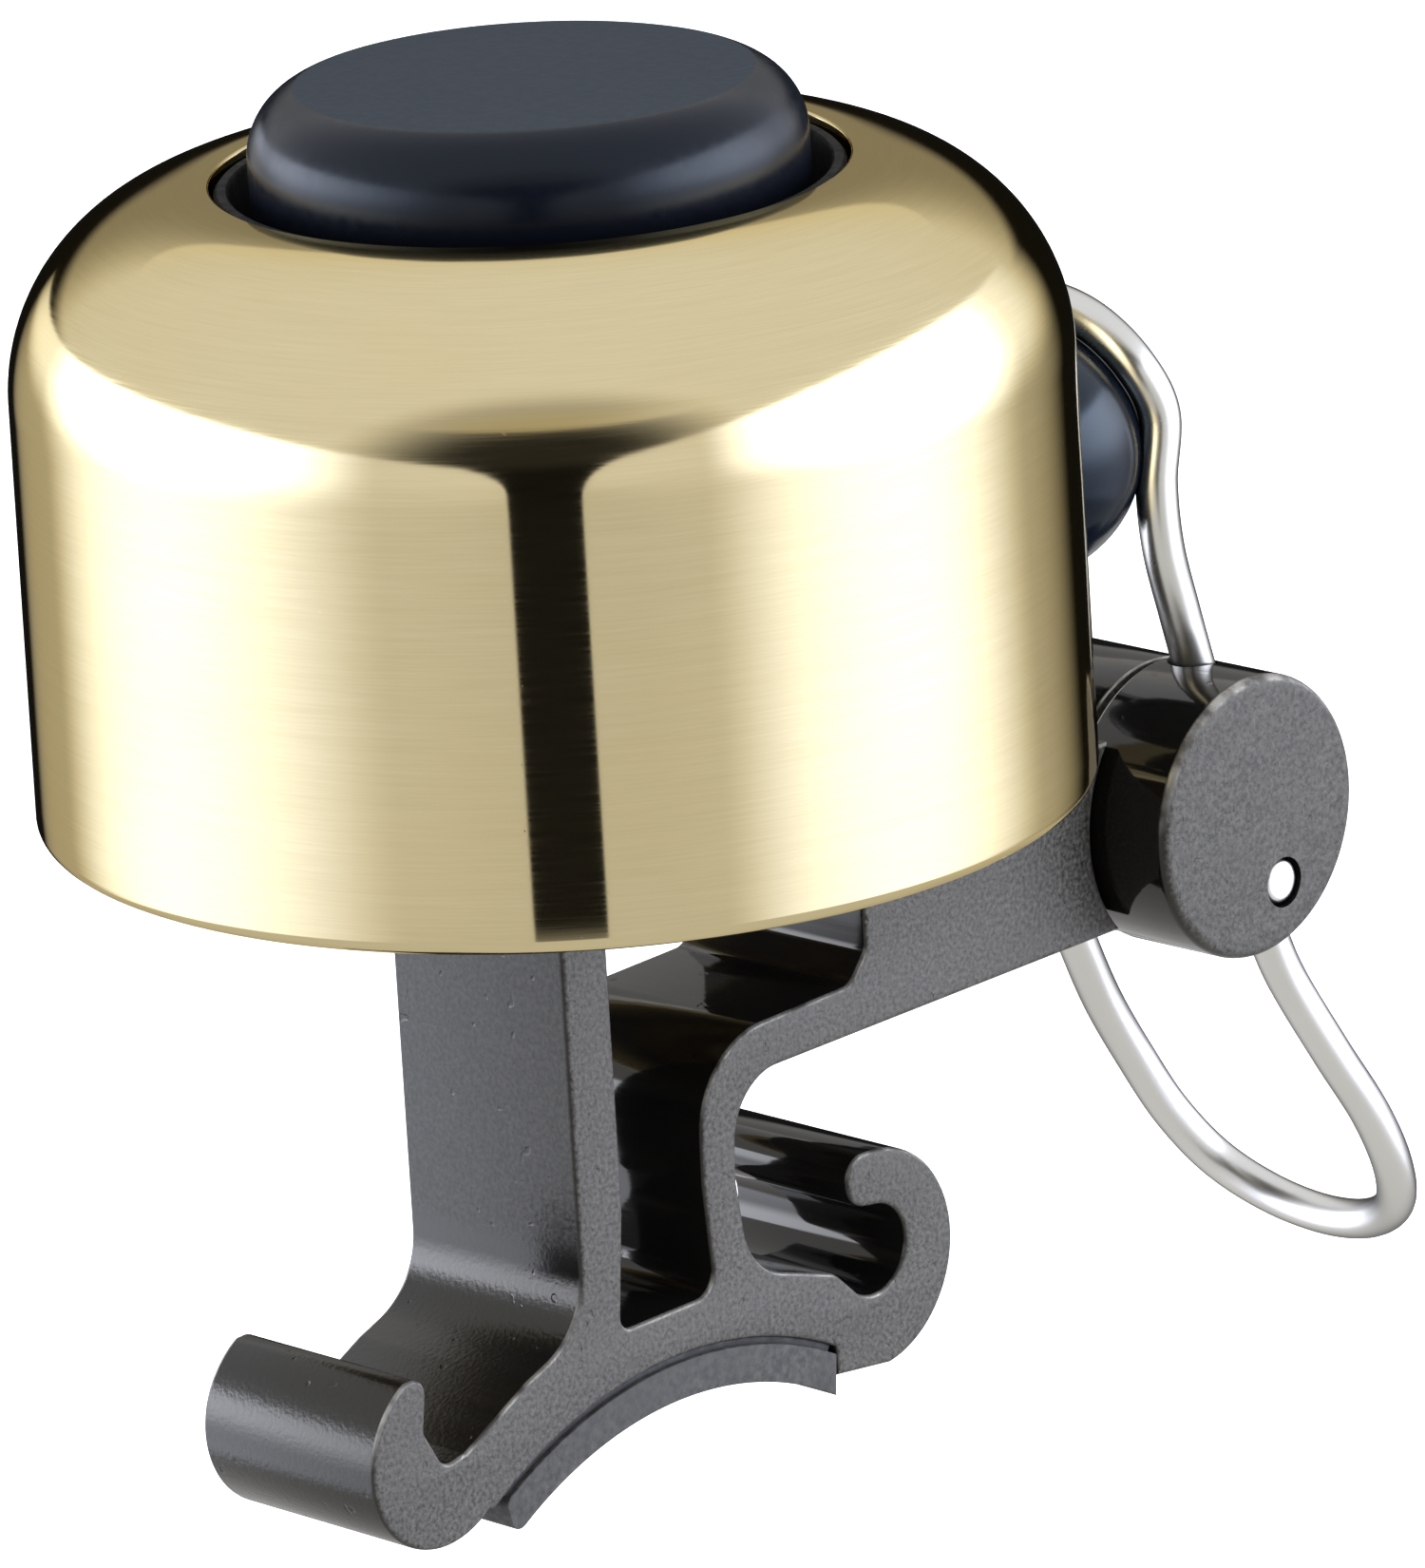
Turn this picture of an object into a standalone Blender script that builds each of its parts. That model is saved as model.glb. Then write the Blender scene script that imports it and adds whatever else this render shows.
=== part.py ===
"""Bicycle bell: brass dome, section bracket with rubber saddle pad, side striker with a thumb loop.

Frame: origin on the crown of the pad's contact face, mid-width. +Z up along the dome's axis,
+X along the handlebar, +Y towards the striker. Every dimension below is in millimetres.
"""

import math

import bmesh
import bpy
from mathutils import Vector

MM = 0.001

# Handlebar and bracket section
BAR_RADIUS = 15.9
PAD_THICKNESS = 1.5
PAD_BOND_GAP = 0.15
SEAT_LEFT = -9.5
SEAT_RIGHT = 8.42
SECTION_HALF_WIDTH = 4.3
POST_LEFT = -4.5
POST_RIGHT = -2.2
FLANGE_UNDERSIDE = 36.3
FLANGE_TOP = 38.7
FLANGE_END = 6.0
ARM_UNDERSIDE = 11.05
ARM_BLOCK_LEFT = 11.1
ARM_BLOCK_TOP = 18.4

# Dome, turned about a vertical axis
DOME_Y = 0.6
RIM_Z = 22.1
DOME_RADIUS = 19.0
DOME_SHOULDER_RADIUS = 18.87
SHOULDER_ARC = 7.4
SHOULDER_Z = 37.8
WALL = 2.4
HOLE_RADIUS = 11.3
FLOOR_TOP = 42.0
FLOOR_UNDERSIDE = 40.0
FLOOR_HOLE = 3.6

# Button and its holder
BUTTON_RADIUS = 9.9
BUTTON_TOP_RADIUS = 8.1
BUTTON_TOP = 48.45
BUTTON_ROUND = 2.58
BUTTON_ROUND_Z = 45.99
BUTTON_SKIRT_END = 43.3

# Striker
AXIS_Y = 29.3
AXIS_Z = 14.85
HUB_RADIUS = 5.4
HUB_INNER = 2.9
HUB_OUTER = 7.6
TONGUE_HALF_WIDTH = 2.55
EYE_RADIUS = 5.3
EYE_BORE = 3.4
AXLE_RADIUS = 1.5
AXLE_END = 4.4
WIRE_RADIUS = 0.8
BALL_RADIUS = 4.9
BALL_Y = 24.85
BALL_Z = 29.0
CRADLE_RADIUS = 4.25
CRADLE_OFFSET = 3.75
CRADLE_TILT = math.radians(18.3)
PIN_Y = 30.5
PIN_Z = 12.0
PIN_RADIUS = 0.86
SPRING_RADIUS = 2.65
SPRING_WIRE = 0.25
SPRING_TURNS = 4
SPRING_HOOK_X = -1.5


# ---------------------------------------------------------------- scene helpers


def clear_scene():
    for obj in list(bpy.data.objects):
        bpy.data.objects.remove(obj, do_unlink=True)


def new_collection(name):
    collection = bpy.data.collections.new(name)
    bpy.context.scene.collection.children.link(collection)
    return collection


def surface(name, colour, metallic, roughness):
    material = bpy.data.materials.new(name)
    material.use_nodes = True
    shader = material.node_tree.nodes["Principled BSDF"]
    shader.inputs["Base Color"].default_value = (*colour, 1.0)
    shader.inputs["Metallic"].default_value = metallic
    shader.inputs["Roughness"].default_value = roughness
    material.diffuse_color = (*colour, 1.0)
    return material


def place(obj, collection):
    for owner in list(obj.users_collection):
        owner.objects.unlink(obj)
    collection.objects.link(obj)
    return obj


def as_part(obj, material, smooth_degrees=30):
    obj.data.materials.clear()
    obj.data.materials.append(material)
    if obj.type == "MESH":
        obj.data.shade_smooth()
        obj.data.set_sharp_from_angle(angle=math.radians(smooth_degrees))
    return obj


def as_cutter(obj):
    place(obj, CUTTERS)
    obj.hide_render = True
    obj.display_type = "WIRE"
    return obj


def boolean(obj, other, operation="DIFFERENCE"):
    modifier = obj.modifiers.new(operation.title(), "BOOLEAN")
    modifier.operation = operation
    modifier.object = as_cutter(other)


# ---------------------------------------------------------------- outlines and paths


def arc(cy, cz, radius, start, end, steps):
    """Points on a circle from start to end, both in degrees, ends included."""
    points = []
    for i in range(steps + 1):
        a = math.radians(start + (end - start) * i / steps)
        points.append((cy + radius * math.cos(a), cz + radius * math.sin(a)))
    return points


def filleted(corners, closed=True, turn=15):
    """Outline through corners (y, z, fillet radius), an arc point about every `turn` degrees."""
    points = []
    count = len(corners)
    for i, (y, z, radius) in enumerate(corners):
        if radius == 0 or (not closed and i in (0, count - 1)):
            points.append((y, z))
            continue
        here = Vector((y, z))
        back = (Vector(corners[i - 1][:2]) - here).normalized()
        ahead = (Vector(corners[(i + 1) % count][:2]) - here).normalized()
        half = back.angle(ahead) / 2
        reach = radius / math.tan(half)
        centre = here + (back + ahead).normalized() * (radius / math.sin(half))
        first = here + back * reach - centre
        sweep = math.pi - 2 * half
        if back.x * ahead.y - back.y * ahead.x > 0:
            sweep = -sweep
        steps = max(2, round(math.degrees(abs(sweep)) / turn))
        start = math.atan2(first.y, first.x)
        for k in range(steps + 1):
            a = start + sweep * k / steps
            points.append((centre.x + radius * math.cos(a), centre.y + radius * math.sin(a)))
    return points


def smooth_path(knots, per_span):
    """Points of a Catmull-Rom curve through the knots."""
    knots = [Vector(k) for k in knots]
    padded = [knots[0] * 2 - knots[1], *knots, knots[-1] * 2 - knots[-2]]
    points = []
    for i in range(1, len(padded) - 2):
        p0, p1, p2, p3 = padded[i - 1 : i + 3]
        for k in range(per_span):
            t = k / per_span
            bend = (p0 * 2 - p1 * 5 + p2 * 4 - p3) * t * t + (p1 * 3 - p0 - p2 * 3 + p3) * t**3
            points.append((p1 * 2 + (p2 - p0) * t + bend) / 2)
    points.append(knots[-1])
    return points


def mirrored_knots(half):
    """Knots from +X to the mid-plane, carried on to their mirror image."""
    return half + [(-x, y, z) for x, y, z in reversed(half[:-1])]


# ---------------------------------------------------------------- solids


def turned(name, profile, centre, along_x=False, steps=32, closed=False):
    """Screw of a profile of (radius, height) that runs down its outer side."""
    mesh = bpy.data.meshes.new(name)
    edges = [(i, i + 1) for i in range(len(profile) - 1)]
    if closed:
        edges.append((len(profile) - 1, 0))
    mesh.from_pydata([(r * MM, 0, z * MM) for r, z in profile], edges, [])
    obj = bpy.data.objects.new(name, mesh)
    BELL.objects.link(obj)
    obj.location = Vector(centre) * MM
    if along_x:
        obj.rotation_euler = (0, math.pi / 2, 0)
    screw = obj.modifiers.new("Turn", "SCREW")
    screw.steps = screw.render_steps = steps
    screw.use_merge_vertices = True
    screw.merge_threshold = 1e-6
    screw.use_smooth_shade = True
    return obj


def ring(name, inner, outer, bottom, top, centre, along_x=False, steps=24, ease=0.0):
    """Square-edged or eased ring between two heights measured along its axis."""
    e = ease
    profile = [(inner, top), (outer - e, top), (outer, top - e), (outer, bottom + e)]
    profile += [(outer - e, bottom), (inner, bottom)]
    if not e:
        profile = [(inner, top), (outer, top), (outer, bottom), (inner, bottom)]
    return turned(name, profile, centre, along_x, steps, closed=True)


def section(name, outlines, half_width):
    """Flat outlines in the YZ plane, the first one outer and the rest holes, made a mesh along X."""
    curve = bpy.data.curves.new(name, "CURVE")
    curve.dimensions = "2D"
    curve.fill_mode = "BOTH"
    curve.extrude = half_width * MM
    for outline in outlines:
        spline = curve.splines.new("POLY")
        spline.points.add(len(outline) - 1)
        for point, (y, z) in zip(spline.points, outline):
            point.co = (y * MM, z * MM, 0, 1)
        spline.use_cyclic_u = True
    obj = bpy.data.objects.new(name + "_outline", curve)
    BELL.objects.link(obj)
    obj.rotation_euler = (math.pi / 2, 0, math.pi / 2)
    return meshed(obj, name)


def meshed(obj, name):
    """The curve object as a mesh object with its seams welded."""
    bpy.context.view_layer.update()
    graph = bpy.context.evaluated_depsgraph_get()
    mesh = bpy.data.meshes.new_from_object(obj.evaluated_get(graph))
    welded = bmesh.new()
    welded.from_mesh(mesh)
    bmesh.ops.remove_doubles(welded, verts=welded.verts, dist=1e-6)
    bmesh.ops.recalc_face_normals(welded, faces=welded.faces)
    welded.to_mesh(mesh)
    welded.free()
    result = bpy.data.objects.new(name, mesh)
    BELL.objects.link(result)
    result.matrix_world = obj.matrix_world.copy()
    bpy.data.objects.remove(obj, do_unlink=True)
    return result


def wire(name, points, radius, sides=2):
    """Round wire along a path, with flat closed ends."""
    curve = bpy.data.curves.new(name, "CURVE")
    curve.dimensions = "3D"
    curve.bevel_depth = radius * MM
    curve.bevel_resolution = sides
    curve.use_fill_caps = True
    spline = curve.splines.new("POLY")
    spline.points.add(len(points) - 1)
    for point, co in zip(spline.points, points):
        point.co = (*(Vector(co) * MM), 1)
    obj = bpy.data.objects.new(name, curve)
    BELL.objects.link(obj)
    return obj


def rod(start, end, radius, vertices=20):
    """Plain cylinder between two points, for cutters and pins."""
    start, end = Vector(start) * MM, Vector(end) * MM
    bpy.ops.mesh.primitive_cylinder_add(
        vertices=vertices, radius=radius * MM, depth=(end - start).length, location=(start + end) / 2
    )
    obj = bpy.context.object
    obj.rotation_euler = (end - start).to_track_quat("Z", "Y").to_euler()
    return obj


def block(centre, size):
    bpy.ops.mesh.primitive_cube_add(size=1, location=Vector(centre) * MM)
    obj = bpy.context.object
    obj.scale = Vector(size) * MM
    bpy.ops.object.transform_apply(location=False, rotation=False, scale=True)
    return obj


def named(obj, name):
    obj.name = obj.data.name = name
    return place(obj, BELL)


# ---------------------------------------------------------------- dome and its stack


def build_dome():
    shoulder_r = DOME_SHOULDER_RADIUS - SHOULDER_ARC
    crown_z = SHOULDER_Z + SHOULDER_ARC
    lip = 0.35
    profile = [(HOLE_RADIUS, crown_z - lip), (HOLE_RADIUS + lip * 0.3, crown_z - lip * 0.3)]
    profile += arc(shoulder_r, SHOULDER_Z, SHOULDER_ARC, 86, 0, 11)
    profile += [(DOME_RADIUS, RIM_Z + 0.5), (DOME_RADIUS - 0.15, RIM_Z + 0.15)]
    profile += [(DOME_RADIUS - 0.5, RIM_Z), (DOME_RADIUS - WALL, RIM_Z)]
    inner = SHOULDER_ARC - WALL
    profile += arc(shoulder_r, SHOULDER_Z, inner, 0, 58, 5)
    profile += [(13.6, 40.6), (13.0, FLOOR_UNDERSIDE), (FLOOR_HOLE, FLOOR_UNDERSIDE)]
    profile += [(FLOOR_HOLE, FLOOR_TOP), (HOLE_RADIUS - 0.5, FLOOR_TOP), (HOLE_RADIUS, FLOOR_TOP + 0.5)]
    dome = turned("dome", profile, (0, DOME_Y, 0), steps=52, closed=True)
    as_part(dome, surface("brushed_brass", (0.60, 0.47, 0.22), 1.0, 0.24))


def build_button():
    profile = [(0, BUTTON_TOP), (BUTTON_TOP_RADIUS, BUTTON_TOP)]
    profile += arc(BUTTON_RADIUS - BUTTON_ROUND, BUTTON_ROUND_Z, BUTTON_ROUND, 70, 0, 5)
    profile += [(BUTTON_RADIUS, BUTTON_SKIRT_END), (8.75, BUTTON_SKIRT_END)]
    profile += [(8.75, 44.75), (8.95, 44.95), (8.95, 45.55), (8.75, 45.75), (8.0, 46.9), (0, 46.9)]
    button = turned("cap_button", profile, (0, DOME_Y, 0), steps=40)
    as_part(button, surface("button_lacquer", (0.022, 0.028, 0.045), 0.0, 0.3))


def build_holder():
    profile = [(1.8, 44.0), (4.9, 44.0), (5.1, 46.2), (7.9, 46.2), (8.1, 45.6), (7.85, 45.4)]
    profile += [(7.85, 45.0), (8.1, 44.8), (8.4, 43.0), (1.8, 43.0)]
    holder = turned("cap_holder", profile, (0, DOME_Y, 0), closed=True)
    as_part(holder, surface("holder_plastic", (0.03, 0.03, 0.032), 0.0, 0.5))


def build_snap_ring():
    """Split-free round ring that sits half in the holder's groove and half in the button's."""
    profile = arc(8.4, 45.2, 0.32, 90, -225, 7)
    snap = turned("cap_snap_ring", profile, (0, DOME_Y, 0), steps=24, closed=True)
    as_part(snap, surface("snap_ring_rubber", (0.02, 0.02, 0.02), 0.0, 0.6))


def build_isolators():
    cup = [(FLOOR_HOLE, 42.9), (10.4, 42.9), (10.5, 43.05), (10.6, 44.85), (11.15, 44.85)]
    cup += [(11.15, 42.9), (10.55, 42.15), (FLOOR_HOLE, 42.15)]
    upper = turned("isolator_cup", cup, (0, DOME_Y, 0), closed=True)
    as_part(upper, surface("isolator_elastomer", (0.012, 0.012, 0.013), 0.0, 0.45))
    lower = ring("isolator_lower", FLOOR_HOLE, 6.4, 38.85, 39.85, (0, DOME_Y, 0), ease=0.15)
    as_part(lower, surface("isolator_rubber", (0.02, 0.02, 0.02), 0.0, 0.7))


def build_fasteners():
    centre = (0, DOME_Y, 0)
    sleeve = ring("centre_sleeve", 1.8, 3.3, 38.85, 42.75, centre, ease=0.2)
    as_part(sleeve, surface("sleeve_steel", (0.55, 0.55, 0.56), 1.0, 0.35))
    washer = ring("head_washer", 1.8, 3.9, 44.15, 44.6, centre, ease=0.08)
    as_part(washer, surface("washer_zinc", (0.6, 0.6, 0.61), 1.0, 0.3))
    lower = ring("flange_washer", 1.8, 2.65, 35.65, 36.1, centre, steps=24, ease=0.08)
    as_part(lower, surface("washer_steel", (0.6, 0.6, 0.61), 1.0, 0.32))
    head = [(0, 45.5), (1.2, 45.5), (1.2, 46.4), (2.4, 46.4), (2.9, 46.1), (3.0, 45.5)]
    head += [(3.0, 44.75), (1.5, 44.75), (1.5, 32.2), (1.2, 31.9), (0, 31.9)]
    screw = turned("centre_screw", head, centre, steps=24)
    as_part(screw, surface("screw_steel", (0.35, 0.35, 0.36), 1.0, 0.35))
    lock = ring("lock_washer", 1.8, 2.5, 34.85, 35.5, centre, steps=24)
    boolean(lock, block((1.9, DOME_Y, 35.2), (2.6, 0.5, 1.4)))
    as_part(lock, surface("spring_steel", (0.4, 0.4, 0.41), 1.0, 0.35))


def build_nut():
    across_flats = 4.9
    bpy.ops.mesh.primitive_cylinder_add(
        vertices=6,
        radius=across_flats / 2 / math.cos(math.pi / 6) * MM,
        depth=2.4 * MM,
        location=Vector((0, DOME_Y, 33.5)) * MM,
    )
    nut = named(bpy.context.object, "centre_nut")
    nut.rotation_euler = (0, 0, math.pi / 6)
    boolean(nut, rod((0, DOME_Y, 30), (0, DOME_Y, 37), 1.8, 24))
    as_part(nut, surface("nut_steel", (0.5, 0.5, 0.51), 1.0, 0.35))


# ---------------------------------------------------------------- bracket and pad


def saddle_arc(radius, start, end, steps):
    return arc(0, -BAR_RADIUS, radius, start, end, steps)


def as_corners(points):
    """Plain outline points as corners without a fillet."""
    return [(y, z, 0) for y, z in points]


def bracket_outline():
    """Section of the full-width body, clockwise from the left end of the saddle."""
    seat = BAR_RADIUS + PAD_THICKNESS + PAD_BOND_GAP
    left_hook = as_corners(arc(-11.9, 1.7, 3.5, 308, 118, 16))
    left_hook += as_corners(arc(-13.2, 4.15, 0.65, 100, -10, 5))
    left_hook += [(-12.75, 2.7, 0.5), (-11.85, 1.15, 0.6), (-10.75, 1.35, 0.5), (-7.5, 3.0, 1.5)]
    post = [(POST_LEFT, 4.1, 3.0), (POST_LEFT, 14.0, 0), (POST_LEFT, FLANGE_TOP, 0.4)]
    post += [(FLANGE_END, FLANGE_TOP, 0.5), (FLANGE_END, FLANGE_UNDERSIDE, 0.5)]
    post += [(POST_RIGHT, FLANGE_UNDERSIDE, 0.3), (POST_RIGHT, 8.0, 0), (-2.65, 3.45, 0.5)]
    web = [(2.3, 3.45, 0.9), (1.95, 7.6, 2.0), (2.05, 12.8, 3.6), (10.2, 12.95, 0.8)]
    web += [(ARM_BLOCK_LEFT, 14.0, 0.6), (ARM_BLOCK_LEFT, ARM_BLOCK_TOP, 0.8)]
    end = [(27.0, ARM_BLOCK_TOP, 0)]
    under = [(27.0, ARM_UNDERSIDE, 0), (3.9, ARM_UNDERSIDE, 2.4), (3.7, 7.4, 1.0)]
    under += [(4.2, 3.7, 2.6), (8.6, 2.3, 1.2)]
    throat = as_corners(arc(10.7, 2.6, 1.7, 236, 448, 14))
    nose = as_corners(arc(10.45, 5.4, 1.03, 262, 100, 9))
    right_hook = as_corners(arc(10.7, 2.2, 4.2, 88, -82, 14)) + [(SEAT_RIGHT, -1.6, 0.3)]
    rim = filleted(left_hook + post + web + end + under + throat + nose + right_hook)
    start = math.degrees(math.asin(SEAT_RIGHT / seat))
    stop = math.degrees(math.asin(SEAT_LEFT / seat))
    return rim + saddle_arc(seat, 90 - start, 90 - stop, 12)


def build_bracket():
    bracket = section("bracket", [bracket_outline()], SECTION_HALF_WIDTH)
    socket = rod((-9, AXIS_Y, AXIS_Z), (9, AXIS_Y, AXIS_Z), HUB_RADIUS + 0.35, 64)
    boolean(bracket, socket)
    reach = 40
    tongue = [(18.0, ARM_UNDERSIDE + 0.6), (AXIS_Y - 3.4, ARM_UNDERSIDE + 0.6)]
    tongue += arc(AXIS_Y, AXIS_Z, EYE_RADIUS, -135, 140, reach)
    tongue += [(AXIS_Y - 4.2, ARM_BLOCK_TOP - 0.6), (18.0, ARM_BLOCK_TOP - 0.6)]
    boolean(bracket, section("eye", [tongue], TONGUE_HALF_WIDTH), "UNION")
    boolean(bracket, rod((-5, AXIS_Y, AXIS_Z), (5, AXIS_Y, AXIS_Z), EYE_BORE, 40))
    spring_end = AXIS_Y - 5.0
    boolean(bracket, rod((SPRING_HOOK_X, spring_end, AXIS_Z), (SPRING_HOOK_X, AXIS_Y - 2, AXIS_Z), 0.4, 12))
    boolean(bracket, rod((0, DOME_Y, 35), (0, DOME_Y, 40), 1.8, 24))
    as_part(bracket, surface("black_anodised", (0.045, 0.045, 0.047), 0.0, 0.42))


def build_pad():
    outer = BAR_RADIUS + PAD_THICKNESS
    upper = saddle_arc(outer, 90 - 28.5, 90 + 30.6, 16)
    lower = saddle_arc(BAR_RADIUS, 90 + 32.4, 90 - 30.9, 16)
    pad = section("bar_pad", [upper + lower], SECTION_HALF_WIDTH)
    as_part(pad, surface("pad_rubber", (0.06, 0.06, 0.06), 0.0, 0.8))


# ---------------------------------------------------------------- striker


def cradle_point(degrees):
    """Point of the wire's ring round the ball, from 0 at its widest to 90 at its top."""
    a = math.radians(degrees)
    rise = CRADLE_RADIUS * math.sin(a)
    y = BALL_Y + CRADLE_OFFSET * math.cos(CRADLE_TILT) - rise * math.sin(CRADLE_TILT)
    z = BALL_Z + CRADLE_OFFSET * math.sin(CRADLE_TILT) + rise * math.cos(CRADLE_TILT)
    return (CRADLE_RADIUS * math.cos(a), y, z)


def hammer_path(per_span=3):
    knots = [(4.0, 30.75, 17.6), (4.0, 30.05, 19.9), (4.02, 29.3, 22.3), (4.12, 28.45, 25.0)]
    knots += [(4.2, 28.15, 27.6)]
    knots += [tuple(cradle_point(a)) for a in (0, 30, 60, 90)]
    return smooth_path(mirrored_knots(knots), per_span)


def thumb_path(per_span=3):
    knots = [(5.35, 30.2, 12.75), (5.35, 31.6, 10.0), (5.4, 32.85, 7.25), (5.8, 34.8, 3.8)]
    knots += [(5.95, 36.8, 0.75), (5.6, 38.4, -1.9), (4.5, 39.7, -4.0), (2.5, 40.55, -5.3)]
    knots += [(0, 40.85, -5.75)]
    return smooth_path(mirrored_knots(knots), per_span)


def leg_hole(points, side, overshoot):
    """Straight cutter along a leg's buried end, open outwards."""
    inner, outer = Vector(points[0]), Vector(points[3])
    run = (outer - inner).normalized()
    start, end = inner - run * 0.3, outer + run * overshoot
    flip = Vector((side, 1, 1))
    return rod(start * flip, end * flip, WIRE_RADIUS + 0.15)


def build_hub(name, side):
    profile = [(0, HUB_OUTER), (HUB_RADIUS - 0.5, HUB_OUTER), (HUB_RADIUS - 0.15, HUB_OUTER - 0.15)]
    profile += [(HUB_RADIUS, HUB_OUTER - 0.5), (HUB_RADIUS, HUB_INNER + 0.2)]
    profile += [(HUB_RADIUS - 0.2, HUB_INNER), (0, HUB_INNER)]
    hub = turned(name, profile, (0, AXIS_Y, AXIS_Z), along_x=True, steps=40)
    if side < 0:
        hub.rotation_euler = (0, -math.pi / 2, 0)
    start, end = (side * 2, AXIS_Y, AXIS_Z), (side * (AXLE_END + 0.3), AXIS_Y, AXIS_Z)
    boolean(hub, rod(start, end, AXLE_RADIUS + 0.1))
    boolean(hub, leg_hole(hammer_path(), side, 1.5))
    boolean(hub, leg_hole(thumb_path(), side, 1.5))
    boolean(hub, rod((side * 5.3, PIN_Y, PIN_Z), (side * 9, PIN_Y, PIN_Z), PIN_RADIUS + 0.11))
    if side > 0:
        hook_y = AXIS_Y - SPRING_RADIUS
        boolean(hub, rod((2, hook_y, AXIS_Z), (4.0, hook_y, AXIS_Z), 0.45, 12))
    as_part(hub, surface(name + "_anodised", (0.045, 0.045, 0.047), 0.0, 0.4))


def build_lock_pin(name, side):
    pin = named(rod((side * 6.3, PIN_Y, PIN_Z), (side * 7.55, PIN_Y, PIN_Z), PIN_RADIUS), name)
    as_part(pin, surface(name + "_steel", (0.75, 0.75, 0.75), 1.0, 0.2))


def build_axle_group():
    centre = (0, AXIS_Y, AXIS_Z)
    e = 0.25
    profile = [(0, AXLE_END), (AXLE_RADIUS - e, AXLE_END), (AXLE_RADIUS, AXLE_END - e)]
    profile += [(AXLE_RADIUS, e - AXLE_END), (AXLE_RADIUS - e, -AXLE_END), (0, -AXLE_END)]
    axle = turned("axle", profile, centre, along_x=True, steps=24)
    as_part(axle, surface("axle_steel", (0.7, 0.7, 0.7), 1.0, 0.2))
    tube = ring("pivot_tube", 1.65, 2.1, -2.8, 2.8, centre, along_x=True, steps=24)
    as_part(tube, surface("tube_bronze", (0.5, 0.33, 0.16), 1.0, 0.35))
    for name, side in (("bearing_near", 1), ("bearing_far", -1)):
        middle = (side * 2.17, AXIS_Y, AXIS_Z)
        bearing = ring(name, 2.2, EYE_BORE - 0.1, -0.3, 0.3, middle, along_x=True, steps=24)
        if side > 0:
            notch = (2.17, AXIS_Y - SPRING_RADIUS - 0.2, AXIS_Z)
            boolean(bearing, block(notch, (1.4, 1.7, 2.4)))
        as_part(bearing, surface(name + "_nylon", (0.75, 0.74, 0.7), 0.0, 0.5))


def build_return_spring():
    """Coil round the tube: one end in the eye's wall, the other in the near hub."""
    per_turn = 16
    left, right = SPRING_HOOK_X + 0.25, 1.2
    coil = []
    for i in range(SPRING_TURNS * per_turn + 1):
        a = math.pi + 2 * math.pi * i / per_turn
        x = left + (right - left) * i / (SPRING_TURNS * per_turn)
        coil.append((x, AXIS_Y + SPRING_RADIUS * math.cos(a), AXIS_Z + SPRING_RADIUS * math.sin(a)))
    hook_y = AXIS_Y - SPRING_RADIUS
    first = [(SPRING_HOOK_X, AXIS_Y - 4.7, AXIS_Z), (SPRING_HOOK_X, hook_y - 0.35, AXIS_Z)]
    last = [(right + 0.35, hook_y, AXIS_Z), (3.7, hook_y, AXIS_Z)]
    spring = wire("return_spring", first + coil + last, SPRING_WIRE, sides=1)
    as_part(spring, surface("spring_wire", (0.6, 0.6, 0.6), 1.0, 0.25))


def build_hammer():
    hammer = wire("hammer_wire", hammer_path(), WIRE_RADIUS)
    as_part(hammer, surface("bright_wire", (0.8, 0.8, 0.8), 1.0, 0.16))
    bpy.ops.mesh.primitive_uv_sphere_add(
        segments=28, ring_count=16, radius=BALL_RADIUS * MM, location=Vector((0, BALL_Y, BALL_Z)) * MM
    )
    ball = named(bpy.context.object, "hammer_ball")
    groove = wire("groove", hammer_path(), WIRE_RADIUS + 0.08)
    boolean(ball, meshed(groove, "groove_cutter"))
    outward = Vector((0, math.cos(CRADLE_TILT), math.sin(CRADLE_TILT)))
    centre = Vector((0, BALL_Y, BALL_Z))
    boolean(ball, rod(centre + outward * 0.9, centre + outward * 6, 1.65))
    as_part(ball, surface("hammer_lacquer", (0.03, 0.04, 0.06), 0.0, 0.25))
    weight = named(rod(centre + outward * 1.0, centre + outward * 4.5, 1.5, 24), "hammer_weight")
    as_part(weight, surface("weight_steel", (0.5, 0.5, 0.5), 1.0, 0.3))


def build_thumb_loop():
    loop = wire("thumb_loop", thumb_path(), WIRE_RADIUS)
    as_part(loop, surface("loop_wire", (0.8, 0.8, 0.8), 1.0, 0.2))


clear_scene()
BELL = new_collection("bicycle_bell")
CUTTERS = new_collection("cutters")
build_dome()
build_button()
build_holder()
build_snap_ring()
build_isolators()
build_fasteners()
build_nut()
build_bracket()
build_pad()
build_hub("hub_near", 1)
build_hub("hub_far", -1)
build_lock_pin("lock_pin_near", 1)
build_lock_pin("lock_pin_far", -1)
build_axle_group()
build_return_spring()
build_hammer()
build_thumb_loop()
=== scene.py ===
"""Looks of the bicycle bell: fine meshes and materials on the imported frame, studio and camera."""

import math

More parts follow.
